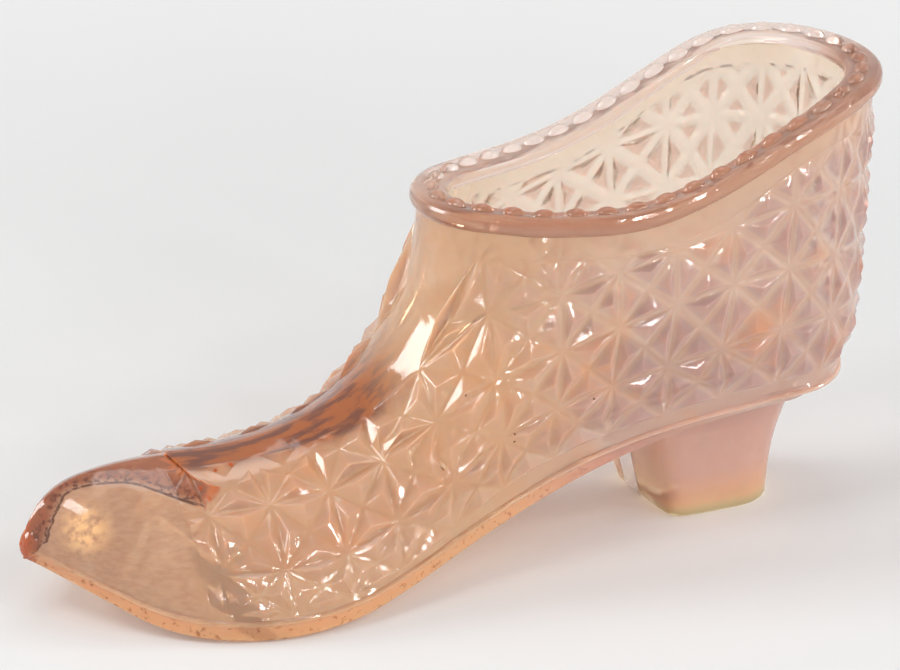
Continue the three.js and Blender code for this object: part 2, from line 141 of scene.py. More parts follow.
# Marks in the glass on the near side, and the place of a painted glow: distance behind the toe tip,
# sideways, height, and size
TOE_LINE = [
    (2.8, -3.1, 12.6), (3.9, -3.2, 15.8), (5.0, -2.8, 18.2), (6.7, -1.8, 20.2), (8.4, -2.1, 20.8),
    (11.4, -2.8, 21.2), (15.2, -3.9, 21.2), (17.4, -4.9, 20.9), (20.8, -7.6, 19.7), (24, -10.3, 18.6),
    (26.6, -11.5, 18), (30, -13.5, 17),
]
# A warm glow painted into the toe cap, standing in for light gathered in the thick glass
PAINTED_GLOW_PATCH = (7.7, -7.4, 16)
SPOT_HEART = 0.4
AMBER_HAZE = [((70, -15, 34), 11), ((88.5, -19.5, 33), 8), ((116, -21.5, 34), 7), ((42, -9, 21), 9)]
ORANGE_SPECKS = [
    ((24.6, -4.3, 21.7), 0.5), ((26.4, -8.2, 19.9), 0.6), ((27.1, -10.4, 18.9), 0.55),
    ((32.8, -5.2, 21.6), 0.7), ((29.9, -5.8, 21.3), 0.45), ((25.6, -7.2, 20.6), 0.4),
]
DARK_FLAWS = [
    ((75, -19, 24.3), 0.28), ((75, -19, 23), 0.3), ((67.4, -17.3, 31.5), 0.3),
    ((88.7, -19.3, 28), 0.28), ((90, -18.9, 26.6), 0.25),
]

# The glass: slow hollows and fine ripples of its surface, and how it scatters light
HOLLOW_SIZE = 3.6
RIPPLE_SIZE = 2.2
GLASS_IOR = 1.5
GLASS_ROUGHNESS = 0.045
SCATTER_DEPTH = 4
SCATTER_RADIUS = (1.0, 0.6, 0.45)
THINNER_FROM_INSIDE = 0.85


# A smooth curve through the points
def spline(points, steps=16):
    points = np.array(points, float)
    all_points = np.vstack([2 * points[0] - points[1], points, 2 * points[-1] - points[-2]])
    t = (np.arange(steps) / steps)[:, None]
    parts = []
    for a, b, c, d in zip(all_points, all_points[1:], all_points[2:], all_points[3:]):
        slope = c - a
        bend = 2 * a - 5 * b + 4 * c - d
        turn = 3 * b - a - 3 * c + d
        parts.append(b + 0.5 * (slope * t + bend * t ** 2 + turn * t ** 3))
    return np.vstack(parts + [points[-1:]])


# A smooth curve read by its first coordinate
def along(points):
    line = spline(points)
    return lambda s: np.interp(s, line[:, 0], line[:, 1])


def lerp(a, b, t):
    return a + (b - a) * t


def smoothly(low, high, value):
    t = np.clip((value - low) / (high - low), 0, 1)
    return t * t * (3 - 2 * t)


# A quarter round, from 0 at share 0 to 1 at share 1
def round_off(share, power):
    left = 1 - np.clip(share, 0, 1)
    return (1 - left * left) ** (1 / power)


# Distance in the side view from points to a line
def distance_to(line, s, z):
    points = np.stack([np.ravel(s), np.ravel(z)], -1)
    a = line[:-1]
    step = line[1:] - a
    length = (step ** 2).sum(-1)
    best = np.empty(len(points))
    for first in range(0, len(points), 8000):
        part = points[first:first + 8000, None, :] - a
        t = np.clip((part * step).sum(-1) / length, 0, 1)
        best[first:first + 8000] = np.hypot(*np.moveaxis(part - step * t[..., None], -1, 0)).min(-1)
    return best.reshape(np.shape(s))


# A line moved to its right by a distance
def moved(line, distance):
    ahead = np.vstack([line[1:], line[-1:]])
    behind = np.vstack([line[:1], line[:-1]])
    way = (ahead - behind) / np.linalg.norm(ahead - behind, axis=1)[:, None]
    return line + distance * np.stack([way[:, 1], -way[:, 0]], -1)


sole_rise = along([
    (0, 9), (5, 6.8), (10, 4.4), (15, 2), (20, 0.7), (28, 0), (38, 0.2), (48, 1.3), (60, 4.2), (72, 7.8),
    (84, 11.6), (96, 15), (108, 17.6), (120, 19), (130, 19.6), (141, 20.2),
])
rim_height = along([
    (0, 59.4), (68, 59.4), (80, 58.9), (92, 58.9), (100, 60), (108, 62.5), (116, 66.1), (124, 70),
    (132, 73), (140, 74.3), (LENGTH, BACK_HEIGHT),
])
pattern_top = along([
    (60, 50), (72, 51.2), (80, 51.6), (90, 51.4), (100, 52.2), (106, 53.6), (112, 56.4), (118, 60),
    (124, 63.4), (130, 65.6), (146, 67.4),
])
sole_share = along([
    (0, 0), (5.5, 0.303), (14, 0.602), (24, 0.869), (35, 1), (46, 0.98), (56, 0.876), (66, 0.753),
    (76, 0.665), (86, 0.622), (96, 0.637), (108, 0.693), (120, 0.729), (141, 0.729),
])
collar_share = along([
    (0, 0.636), (60, 0.6), (75, 0.627), (82, 0.718), (90, 0.841), (97, 0.918), (108, 0.973), (120, 1),
    (LENGTH, 1),
])
side_swell = along([(0, 0), (20, 1), (40, 1.5), (60, 3), (80, 3.2), (100, 2.2), (120, 1.4), (146, 1)])


def welt_height(s):
    return SOLE_THICKNESS + sole_rise(s)


def wall_top(s):
    return rim_height(s) - WALL_TOP_BELOW_RIM


def floor_height(s):
    nose = 1 - smoothly(HOLLOW_START, HOLLOW_START + HOLLOW_NOSE, s)
    return welt_height(s) + FLOOR_ABOVE_WELT + NOSE_FLOOR_RISE * nose


# Outlines of the side view: the ridge of toe, tongue and collar front, and the back
RIDGE = spline([
    (0, 12.2), (1, 15.4), (3.6, 18.9), (8, 21.4), (15, 22.6), (23, 22.7), (31, 22.2), (38, 22.5),
    (45, 23.8), (52.5, 27), (58, 30.8), (62.6, 35.4), (66, 41), (67.8, 47), (68.4, 53),
    (COLLAR_FRONT, wall_top(COLLAR_FRONT)),
])
BACK = spline([
    (HEEL_SEAT_END, welt_height(HEEL_SEAT_END)), (142.4, 27), (143.2, 34), (143.6, 42), (143.9, 50),
    (144.4, 60), (BACK_TOP, wall_top(BACK_TOP)),
])
RIDGE_IN = moved(RIDGE, WALL)
BACK_IN = moved(BACK, -WALL)
HOLLOW_RIDGE = np.vstack([
    [HOLLOW_START, floor_height(HOLLOW_START)],
    RIDGE_IN[RIDGE_IN[:, 0] > HOLLOW_START + WALL],
    [COLLAR_FRONT + WALL, rim_height(COLLAR_FRONT) + WALL],
])
HOLLOW_BACK = np.vstack([
    [HOLLOW_END, floor_height(HOLLOW_END)],
    BACK_IN[BACK_IN[:, 1] > floor_height(HOLLOW_END) + WALL],
    [BACK_TOP - WALL, rim_height(BACK_TOP) + WALL],
])
ROWS_UP = RIDGE[np.concatenate([[True], RIDGE[1:, 0] > np.maximum.accumulate(RIDGE[:, 0])[:-1]])]


def ridge_height(s):
    return np.interp(s, ROWS_UP[:, 0], ROWS_UP[:, 1])


def back_place(z):
    return np.interp(z, BACK[:, 1], BACK[:, 0])


# Share of the height between the welt and the rim
def up_the_side(s, z):
    return np.clip((z - welt_height(s)) / (rim_height(s) - welt_height(s)), 0, 1)


# Width to one side before the rounding at front and back
def plain_half_width(s, z):
    up = up_the_side(s, z)
    straight = lerp(SOLE_WIDTH * sole_share(s), COLLAR_WIDTH * collar_share(s), up) / 2
    return straight + side_swell(s) * 4 * up * (1 - up)


def vamp_power(s):
    return lerp(VAMP_POWER, CIRCLE, smoothly(VAMP_END, COLLAR_FRONT, s))


def vamp_height(s):
    return np.maximum(ridge_height(s) - welt_height(s), 1)


def back_round(s, z):
    return lerp(HEEL_ROUND, BACK_ROUND, up_the_side(s, z))


def outer_half_width(s, z):
    front = lerp(vamp_height(s), COLLAR_ROUND, smoothly(VAMP_END, COLLAR_FRONT, s))
    return (plain_half_width(s, z) * round_off(distance_to(RIDGE, s, z) / front, vamp_power(s))
            * round_off(distance_to(BACK, s, z) / back_round(s, z), CIRCLE))


def hollow_half_width(s, z):
    nose = round_off((s - HOLLOW_START) / HOLLOW_NOSE, CIRCLE)
    height = np.maximum(vamp_height(s) - 2 * WALL, 1)
    front = lerp(height, COLLAR_ROUND - WALL / 2, smoothly(VAMP_END, COLLAR_FRONT, s))
    wide = ((plain_half_width(s, z) - WALL) * nose
            * round_off(distance_to(HOLLOW_RIDGE, s, z) / front, vamp_power(s))
            * round_off(distance_to(HOLLOW_BACK, s, z) / (back_round(s, z) - WALL / 2), CIRCLE))
    cut = np.minimum(FLOOR_ROUND, wide)
    return wide - cut * (1 - round_off((z - floor_height(s)) / FLOOR_ROUND, CIRCLE))


# Points of the side view between four edge lines. Near is crowded towards the front and the back.
def side_points(edges, near, up):
    bottom, top, front, back = edges
    r = ((1 - np.cos(np.pi * near)) / 2)[None, :, None]
    u = up[:, None, None]
    level = lerp(bottom(r[..., 0]), top(r[..., 0]), u)
    upright = lerp(at_share(front, up)[:, None, :], at_share(back, up)[:, None, :], r)
    low = lerp(bottom(np.zeros(1)), bottom(np.ones(1)), r)
    high = lerp(top(np.zeros(1)), top(np.ones(1)), r)
    both = level + upright - lerp(low, high, u)
    return both[..., 0], both[..., 1]


def at_share(line, share):
    run = np.concatenate([[0], np.cumsum(np.linalg.norm(np.diff(line, axis=0), axis=1))])
    return np.stack([np.interp(np.asarray(share) * run[-1], run, line[:, k]) for k in (0, 1)], -1)


def outer_bottom(r):
    return np.stack([HEEL_SEAT_END * r, welt_height(HEEL_SEAT_END * r)], -1)


def outer_top(r):
    s = lerp(COLLAR_FRONT, BACK_TOP, r)
    return np.stack([s, wall_top(s)], -1)


def hollow_bottom(r):
    s = lerp(HOLLOW_START, HOLLOW_END, r)
    return np.stack([s, floor_height(s)], -1)


def hollow_top(r):
    s = lerp(COLLAR_FRONT + WALL, BACK_TOP - WALL, r)
    return np.stack([s, rim_height(lerp(COLLAR_FRONT, BACK_TOP, r)) + WALL], -1)


OUTER_EDGES = (outer_bottom, outer_top, RIDGE, BACK)
HOLLOW_EDGES = (hollow_bottom, hollow_top, HOLLOW_RIDGE, HOLLOW_BACK)


# Rows of points of the near side, as an array of rows, columns and (s, y, z)
def side_rows(edges, half_width, near, up):
    s, z = side_points(edges, near, up)
    y = -half_width(s, z)
    y[:, [0, -1]] = 0
    return np.stack([s, y, z], -1)


# Moves a row outwards in plan, and up
def moved_out(row, out, up):
    mirror = np.array([1, -1, 1])
    ahead = np.vstack([row[1:], row[-2:-1] * mirror])
    behind = np.vstack([row[1:2] * mirror, row[:-1]])
    way = ahead - behind
    inward = np.stack([-way[:, 1], way[:, 0], 0 * way[:, 0]], -1)
    inward /= np.linalg.norm(inward, axis=1)[:, None]
    place = row - inward * np.reshape(out, (-1, 1))
    place[:, 2] = np.maximum(place[:, 2] + up, 0)
    return place


# ---- Blender helpers ----
def only(*objects):
    bpy.ops.object.select_all(action="DESELECT")
    for each in objects:
        each.select_set(True)
    bpy.context.view_layer.objects.active = objects[0]


def coordinates(mesh):
    flat = np.empty(len(mesh.vertices) * 3)
    mesh.vertices.foreach_get("co", flat)
    return flat.reshape(-1, 3)


def to_frame(points):
    return (np.asarray(points) - [TOE_TO_CENTRE, 0, 0]) * MM


def from_frame(points):
    return np.asarray(points) / MM + [TOE_TO_CENTRE, 0, 0]


def place(mesh, points):
    mesh.vertices.foreach_set("co", to_frame(points).ravel())
    mesh.update()


def grid(name, high, wide):
    bpy.ops.mesh.primitive_grid_add(x_subdivisions=wide - 1, y_subdivisions=high - 1, size=2)
    made = bpy.context.object
    made.name = name
    return made


# The row and column of each corner of a grid that is still flat
def grid_places(flat, high, wide):
    column = np.rint((flat[:, 0] + 1) / 2 * (wide - 1)).astype(int)
    row = np.rint((flat[:, 1] + 1) / 2 * (high - 1)).astype(int)
    return row, column


def mirrored(body):
    mirror = body.modifiers.new("other_side", "MIRROR")
    mirror.use_axis = (False, True, False)
    mirror.use_clip = False
    mirror.merge_threshold = MERGE_REACH * MM
    bpy.ops.object.modifier_apply(modifier="other_side")


# A grid whose corners are put where the rows of points are, mirrored into a closed body
def body_from_rows(name, rows):
    high, wide = rows.shape[:2]
    body = grid(name, high, wide)
    place(body.data, rows[grid_places(coordinates(body.data), high, wide)])
    mirrored(body)
    close_up(body)
    return body


def edit_all():
    bpy.ops.object.mode_set(mode="EDIT")
    bpy.ops.mesh.select_all(action="SELECT")


# Merges what lies in one place and turns the faces outwards
def close_up(body):
    only(body)
    edit_all()
    bpy.ops.mesh.remove_doubles(threshold=MERGE_REACH * MM)
    bpy.ops.mesh.dissolve_degenerate(threshold=0.0005 * MM)
    bpy.ops.mesh.select_all(action="SELECT")
    bpy.ops.mesh.normals_make_consistent(inside=False)
    bpy.ops.object.mode_set(mode="OBJECT")


# Share from the centre line out to the row, for the rows that close a body
def closing_rows(row, shares):
    return np.stack([row * [1, share, 1] for share in shares])


# The outside of the shoe with its welt and sole
def outside():
    near = np.linspace(0, 1, OUTER_COLUMNS)
    up = (np.arange(OUTER_ROWS + 1) / OUTER_ROWS) ** OUTER_ROWS_CROWDED
    rows = side_rows(OUTER_EDGES, outer_half_width, near, up)
    foot = rows[0]
    toe = smoothly(0, HOLLOW_START, foot[:, 0])
    thickness = SOLE_THICKNESS * lerp(TOE_SOLE_SHARE, 1, toe)
    seat = smoothly(QUARTER_START, SEAT_START, foot[:, 0])
    edge_out = toe * lerp(SOLE_EDGE_OUT, SEAT_EDGE_OUT, seat)
    # Round the corner of the sole, up its edge and round the welt: how far out, what share of the way
    # from the sole's edge to the welt's, and how high
    profile = [
        (-1.6, 0, 0), (-0.8, 0, 0.03), (-0.3, 0, 0.1), (0, 0, 0.22), (0, 0.25, 0.5), (0, 0.6, 0.72),
        (0, 0.95, 0.84), (0.15, 1.1, 0.92), (0.12, 1.1, 1.0), (-0.08, 1.1, 1.07), (-0.38, 1.1, 1.12),
    ]
    turned = []
    for out, to_welt, high in profile:
        reach = out * np.clip(toe + 0.2, 0, 1) + edge_out * (1 - to_welt) + WELT_OUT * to_welt
        turned.append(moved_out(foot, reach, -thickness * (1 - high)))
    sole = closing_rows(turned[0], [0, 0.25, 0.5, 0.72, 0.88])
    top = closing_rows(rows[-1], [0.8, 0.5, 0.2, 0])
    return body_from_rows("outside", np.concatenate([sole, np.stack(turned), rows[3:], top]))


def hollow():
    near = np.linspace(0, 1, HOLLOW_COLUMNS)
    up = np.concatenate([[0, 0.004, 0.012, 0.024, 0.04, 0.06, 0.08], np.linspace(0.11, 1, 36)])
    rows = side_rows(HOLLOW_EDGES, hollow_half_width, near, up)
    return body_from_rows("hollow", np.concatenate([
        closing_rows(rows[0], [0, 0.35, 0.65, 0.85]), rows, closing_rows(rows[-1], [0.5, 0]),
    ]))


# A roll swept round the top of the wall, with a round bead every pitch on its inner top edge
def beaded_rim():
    row = side_rows(OUTER_EDGES, outer_half_width, np.linspace(0, 1, RIM_COLUMNS), np.ones(1))[0]
    middle = moved_out(row, RIM_STAND_OUT - RIM_HALF_WIDTH, WALL_TOP_BELOW_RIM - RIM_HALF_HEIGHT)
    loop = np.vstack([middle, middle[-2:0:-1] * [1, -1, 1], middle[:1]])
    run = np.concatenate([[0], np.cumsum(np.linalg.norm(np.diff(loop, axis=0), axis=1))])
    beads = round(run[-1] / BEAD_PITCH)
    count = beads * STEPS_A_BEAD
    place_along = np.arange(count) / count * run[-1]
    centres = np.stack([np.interp(place_along, run, loop[:, k]) for k in range(3)], -1)
    for _ in range(2):
        centres = (np.roll(centres, 1, 0) + 2 * centres + np.roll(centres, -1, 0)) / 4
    ahead = np.roll(centres, -1, 0) - np.roll(centres, 1, 0)
    out = np.stack([ahead[:, 1], -ahead[:, 0], 0 * ahead[:, 0]], -1)
    out /= np.linalg.norm(out, axis=1)[:, None]

    bpy.ops.mesh.primitive_torus_add(
        major_segments=count, minor_segments=RIM_SIDES, major_radius=2, minor_radius=1)
    rim = bpy.context.object
    rim.name = "rim"
    flat = coordinates(rim.data)
    i = np.rint(np.arctan2(flat[:, 1], flat[:, 0]) / (2 * np.pi) * count).astype(int) % count
    angle = np.arctan2(flat[:, 2], np.hypot(flat[:, 0], flat[:, 1]) - 2)
    sink = BEAD_DEPTH * np.exp(-((np.degrees(angle) - BEAD_ANGLE) / BEAD_BED_ANGLE) ** 2)
    wide = (RIM_HALF_WIDTH - sink) * np.sign(np.cos(angle)) * np.abs(np.cos(angle)) ** RIM_FULLNESS
    high = (RIM_HALF_HEIGHT - sink) * np.sign(np.sin(angle)) * np.abs(np.sin(angle)) ** RIM_FULLNESS
    place(rim.data, centres[i] + out[i] * wide[:, None] + np.array([0, 0, 1]) * high[:, None])
    close_up(rim)

    # The beads, one sphere made and copied round the rim
    bpy.ops.mesh.primitive_uv_sphere_add(segments=20, ring_count=12, radius=MM, location=(0, 0, 0))
    bead = bpy.context.object
    ball = coordinates(bead.data) / MM
    angle = math.radians(BEAD_ANGLE)
    beads_made = []
    for i in range(0, count, STEPS_A_BEAD):
        slope = ahead[i] / np.linalg.norm(ahead[i])
        up = np.cross(out[i], slope)
        up = up * np.sign(up[2])
        middle = (centres[i] + out[i] * (RIM_HALF_WIDTH - BEAD_RADIUS) * math.cos(angle)
                  + up * (RIM_HALF_HEIGHT - BEAD_RADIUS) * math.sin(angle))
        copy = bpy.data.objects.new("bead", bead.data.copy())
        bpy.context.collection.objects.link(copy)
        place(copy.data, middle + ball[:, :1] * slope * BEAD_HALF_LENGTH
              + ball[:, 1:2] * out[i] * BEAD_RADIUS + ball[:, 2:] * up * BEAD_RADIUS)
        beads_made.append(copy)
    bpy.data.objects.remove(bead)
    only(beads_made[0])
    for copy in beads_made:
        copy.select_set(True)
    bpy.ops.object.join()
    joined = bpy.context.object
    close_up(joined)
    combine(rim, joined, "UNION")
    return rim


# One level of the heel: square in front, rounded behind
def heel_level(z, front, back, half_width, count):
    angle = 2 * np.pi * np.arange(count) / count
    middle = front + half_width
    in_front = np.cos(angle) > 0
    share = 2 / np.where(in_front, HEEL_FRONT_SQUARENESS, HEEL_BACK_SQUARENESS)
    run = np.abs(np.cos(angle)) ** share * np.where(in_front, front - middle, back - middle)
    side = np.sign(np.sin(angle)) * np.abs(np.sin(angle)) ** share
    return np.stack([middle + run, half_width * side, np.full(count, z)], -1)


# The heel, by levels of height, front, back and half width
def heel_block():
    profile = [
        (0, 108.5, 127.2, 10.0), (0.06, 108.2, 127.6, 10.35), (0.2, 107.85, 127.9, 10.7),
        (0.45, 107.55, 128.2, 10.95), (0.8, 107.35, 128.4, 11.1), (2.5, 106.9, 128.6, 11.15),
        (5, 106.3, 128.9, 11.2), (7.5, 105.75, 129.3, 11.35), (10, 105.2, 129.8, 11.6),
        (12.5, 104.7, 130.5, 11.95), (15, 104.3, 131.4, 12.4), (17.5, 103.8, 132.3, 12.9),
        (20.5, 103.4, 133.4, 13.6),
    ]
    bpy.ops.mesh.primitive_circle_add(vertices=HEEL_CORNERS, radius=1, fill_type="NGON")
    heel = bpy.context.object
    heel.name = "heel"
    bpy.ops.object.mode_set(mode="EDIT")
    for _ in profile[1:]:
        bpy.ops.mesh.extrude_region_move()
    bpy.ops.object.mode_set(mode="OBJECT")
    levels = np.stack([heel_level(*level, HEEL_CORNERS) for level in profile])
    place(heel.data, levels.reshape(-1, 3))
    close_up(heel)
    return heel


# ---- Pressed pattern ----
# Star centres in the side view, row by row from the welt up, from the toe towards the back seam
RIDGE_STARS = [(16.5, 21.8), (26, 21.6), (36, 21.4), (45.5, 22.6), (54.8, 26.8), (63.3, 33.5)]
STARS = [
    [(15, 5.4), (24.5, 4.2), (34.5, 3.7), (45, 4.5), (54.3, 6.6), (64.2, 10.4), (73.5, 14.8), (83, 18),
     (92.5, 20.4), (102, 22.4), (111.5, 24), (121.5, 25), (130.5, 25.4), (136.8, 25.6), (140.7, 25.8)],
    [(15.5, 10.8), (25, 10.4), (34.6, 10.2), (45, 10.9), (54.4, 13.8), (63.8, 18.6), (73, 24),
     (82.6, 27.3), (92, 29.6), (101.2, 31.5), (110.8, 33.1), (121.5, 34.9), (130.7, 35.8), (137.6, 36),
     (141.8, 36.1)],
    [(16.5, 16.9), (26, 17), (36, 17.2), (45.5, 18), (54.8, 21.3), (62.9, 27.2), (72.2, 33.4),
     (83.2, 36.8), (92.5, 39.8), (102, 42.3), (112, 44.5), (122, 45.6), (130.5, 46), (137.6, 46.3),
     (142.1, 46.5)],
    RIDGE_STARS + [(72.5, 43.3), (83.2, 46.1), (92.2, 49), (101.6, 51.6), (111.4, 54.3), (122.3, 56.4),
                   (131, 57.2), (138, 57.4), (142.5, 57.5)],
    RIDGE_STARS + [(72.8, 52.8), (83.3, 55.7), (92.3, 58.2), (101.6, 60.9), (111.2, 63.7),
                   (122.2, 66.5), (131, 67.6), (138.3, 67.9), (143, 68.1)],
]


# The run is how far along the surface a place lies from the back seam, at its own height
def seam_round(z):
    return lerp(HEEL_ROUND, BACK_ROUND, up_the_side(back_place(z), z))


def run_of(s, z):
    r = seam_round(z)
    d = np.maximum(back_place(z) - s, 0)
    return np.where(d < r, r * np.arccos(np.clip(1 - d / r, -1, 1)), r * (np.pi / 2 - 1) + d)


def place_of(run, z):
    r = seam_round(z)
    d = np.where(run < r * np.pi / 2, r * (1 - np.cos(run / r)), run - r * (np.pi / 2 - 1))
    return back_place(z) - d


# A point of the skin by its run and height. A run below 0 is on the far side.
def skin_point(run, z):
    s = place_of(np.abs(run), z)
    return np.stack([s, -np.sign(run) * outer_half_width(s, z), z], -1)


def on_skin(run, z, lift, step=0.05):
    across = skin_point(run + step, z) - skin_point(run - step, z)
    upright = skin_point(run, z + step) - skin_point(run, z - step)
    out = np.cross(upright, across)
    out /= np.linalg.norm(out, axis=-1)[..., None]
    return skin_point(run, z) + out * np.asarray(lift)[..., None]


# How far the plain band over the ridge reaches to one side
def crest_half(s):
    return lerp(CREST_BAND, COLLAR_FRONT_BAND, smoothly(BAND_WIDENS, COLLAR_FRONT, s))


# Above 0 where the pattern is pressed, below 0 on the plain bands
def pattern_room(points):
    run, z = points[..., 0], points[..., 1]
    s = place_of(run, z)
    from_crest = np.where(s < HEEL_FRONT, outer_half_width(s, z) - crest_half(s), np.inf)
    return np.minimum.reduce([from_crest, pattern_top(s) - z, z - welt_height(s) - PATTERN_ABOVE_WELT,
                              s - TOE_CAP_END])


# The triangles between the stars, cut where the pattern ends: each square between four stars is split
# from its middle
def pattern_cells():
    rows = []
    for row in STARS:
        s, z = np.array(row, float).T
        rows.append(np.vstack([np.stack([run_of(s, z), z], -1), [0, z[-1]]]))
    cells = []
    for low, high in zip(rows, rows[1:]):
        for i in range(1, len(low)):
            square = [low[i - 1], low[i], high[i], high[i - 1]]
            middle = sum(square) / 4
            for k in range(4):
                cell = np.array([square[k], square[(k + 1) % 4], middle])
                a, b = cell[1] - cell[0], cell[2] - cell[0]
                if abs(a[0] * b[1] - a[1] * b[0]) > 1e-3:
                    cells.append(cell)
    cells = np.array(cells)
    pressed = pattern_room(cells) > 0
    following = np.roll(cells, -1, 1)
    crosses = pressed != np.roll(pressed, -1, 1)
    inner = np.where(pressed[..., None], cells, following)[crosses]
    outer = np.where(pressed[..., None], following, cells)[crosses]
    for _ in range(CUT_STEPS):
        middle = (inner + outer) / 2
        room = (pattern_room(middle) > 0)[:, None]
        inner, outer = np.where(room, middle, inner), np.where(room, outer, middle)
    cuts = np.zeros(cells.shape)
    cuts[crosses] = inner
    polygons = []
    for cell, kept, cut, crossing in zip(cells, pressed, cuts, crosses):
        polygon = []
        for k in range(3):
            if kept[k]:
                polygon.append(cell[k])
            if crossing[k]:
                polygon.append(cut[k])
        if len(polygon) > 2:
            polygons.append(polygon)
    return polygons


# Adds points to the cells' edges, so that the pattern can follow the round of the shoe
def with_short_edges(polygons):
    longer = []
    for polygon in polygons:
        points = []
        for p, q in zip(polygon, polygon[1:] + polygon[:1]):
            a, b = sorted([tuple(p), tuple(q)])
            ends = skin_point(*np.array([a, b]).T)
            pieces = max(1, math.ceil(np.linalg.norm(ends[1] - ends[0]) / LONGEST_EDGE))
            between = [lerp(np.array(a), np.array(b), k / pieces) for k in range(1, pieces)]
            points += [p] + (between if a == tuple(p) else between[::-1])
        longer.append(points)
    return longer


def pattern():
    polygons = with_short_edges(pattern_cells())
    known = {}
    faces = []
    for polygon in polygons:
        face = []
        for p in polygon:
            corner = known.setdefault((round(p[0], 3), round(p[1], 3)), len(known))
            if not face or (face[-1] != corner and face[0] != corner):
                face.append(corner)
        if len(face) > 2:
            faces.append(face)
    run, z = np.array(list(known)).T
    root = on_skin(run, z, np.full(len(run), -PATTERN_ROOT))
    root[run == 0, 1] = 0
    mesh = bpy.data.meshes.new("pattern")
    mesh.from_pydata(to_frame(root), [], faces)
    sheet = bpy.data.objects.new("pattern", mesh)
    bpy.context.collection.objects.link(sheet)
    only(sheet)
    mirrored(sheet)

    edit_all()
    bpy.ops.mesh.remove_doubles(threshold=MERGE_REACH * MM)
    bpy.ops.mesh.select_all(action="SELECT")
    outward = bmesh.from_edit_mesh(sheet.data)
    outward.faces.ensure_lookup_table()
    wrong = [f for f in outward.faces if f.normal.y * f.calc_center_median().y < 0
             and abs(f.calc_center_median().y) > SEAM_ROOM * MM]
    if len(wrong) > len(outward.faces) / 2:
        bpy.ops.mesh.flip_normals()
    lift = PATTERN_ROOT + PATTERN_LIFT
    bpy.ops.mesh.extrude_region_shrink_fatten(TRANSFORM_OT_shrink_fatten={"value": lift * MM})
    shape = bmesh.from_edit_mesh(sheet.data)
    bpy.ops.mesh.select_mode(type="FACE")
    for face in shape.faces:
        if face.select:
            around = face.calc_perimeter()
            face.select_set(4 * face.calc_area() / around > SMALLEST_CELL * MM * 2)
    bpy.ops.mesh.inset(thickness=GROOVE_HALF * MM, use_even_offset=True, use_individual=True)
    bpy.ops.mesh.poke(offset=RELIEF_SHARE, use_relative_offset=True)
    shape = bmesh.from_edit_mesh(sheet.data)
    pyramids = {face for face in shape.faces if face.select}
    bpy.ops.mesh.select_mode(type="EDGE")
    for edge in shape.edges:
        sharp = len(edge.link_faces) == 2 and edge.calc_face_angle(0) > SHARP_ANGLE
        edge.select_set(sharp and any(face in pyramids for face in edge.link_faces))
    shape.select_flush_mode()
    sharp_pattern = BVHTree.FromBMesh(shape)
    bpy.ops.mesh.bevel(
        offset=EDGE_ROUND * MM, segments=2, profile=0.5, affect="EDGES", clamp_overlap=False)
    # Corners that shot past a narrow face are put back on the surface
    shape = bmesh.from_edit_mesh(sheet.data)
    for corner in shape.verts:
        near_point, _, _, gap = sharp_pattern.find_nearest(corner.co)
        if gap > EDGE_ROUND * MM:
            corner.co = near_point
    bmesh.update_edit_mesh(sheet.data)
    bpy.ops.object.mode_set(mode="OBJECT")
    return sheet


def combine(body, other, operation):
    only(body)
    join = body.modifiers.new("join", "BOOLEAN")
    join.operation = operation
    join.solver = "MANIFOLD"
    join.object = other
    bpy.ops.object.modifier_apply(modifier="join")
    bpy.data.objects.remove(other)


# ---- Finishes ----
def colour(hex_text):
    parts = [int(hex_text[k:k + 2], 16) / 255 for k in (0, 2, 4)]
    return tuple(c / 12.92 if c <= 0.04045 else ((c + 0.055) / 1.055) ** 2.4 for c in parts) + (1,)


def grey(level):
    return (level, level, level, 1)


def node(tree, kind, **inputs):
    made = tree.nodes.new(kind)
    for name, value in inputs.items():
        made.inputs[name.replace("_", " ")].default_value = value
    return made


def attribute(tree, name):
    made = tree.nodes.new("ShaderNodeAttribute")
    made.attribute_name = name
    return made.outputs["Fac"]


# A share from 0 to 1 as the value goes from low to high
def share_of(tree, value, low, high):
    made = node(tree, "ShaderNodeMapRange", From_Min=low, From_Max=high)
    made.interpolation_type = "SMOOTHSTEP"
    tree.links.new(value, made.inputs["Value"])
    return made.outputs["Result"]


# Links a node's output to a socket, or sets a plain value on it
def feed(tree, socket, value):
    if isinstance(value, bpy.types.NodeSocket):
        tree.links.new(value, socket)
    else:
        socket.default_value = value


def mixed(tree, share, a, b, blend="MIX"):
    made = tree.nodes.new("ShaderNodeMix")
    made.data_type = "RGBA"
    made.blend_type = blend
    for k, value in ((0, share), (6, a), (7, b)):
        feed(tree, made.inputs[k], value)
    return made.outputs[2]


# Layers of colour over a body colour. A layer's share is a node's output or the name of an attribute
def layered(tree, body, layers):
    for share, hex_text in layers:
        if isinstance(share, str):
            share = attribute(tree, share)
        body = mixed(tree, share, body, colour(hex_text))
    return body


# A sum, product or the like of two shares, kept between 0 and 1
def sum_of(tree, operation, a, b):
    made = tree.nodes.new("ShaderNodeMath")
    made.operation = operation
    made.use_clamp = True
    feed(tree, made.inputs[0], a)
    feed(tree, made.inputs[1], b)
    return made.outputs[0]


def times(tree, a, b):
    return sum_of(tree, "MULTIPLY", a, b)


# The length of the place on the object, its distance from another or its product with a direction
def measured(tree, operation, other=(0, 0, 0)):
    where = tree.nodes.new("ShaderNodeTexCoord")
    made = tree.nodes.new("ShaderNodeVectorMath")
    made.operation = operation
    made.inputs[1].default_value = other
    tree.links.new(where.outputs["Object"], made.inputs[0])
    return made.outputs["Value"]


# How far a value is from 0
def off_zero(tree, value):
    made = tree.nodes.new("ShaderNodeMath")
    made.operation = "ABSOLUTE"
    tree.links.new(value, made.inputs[0])
    return made.outputs[0]


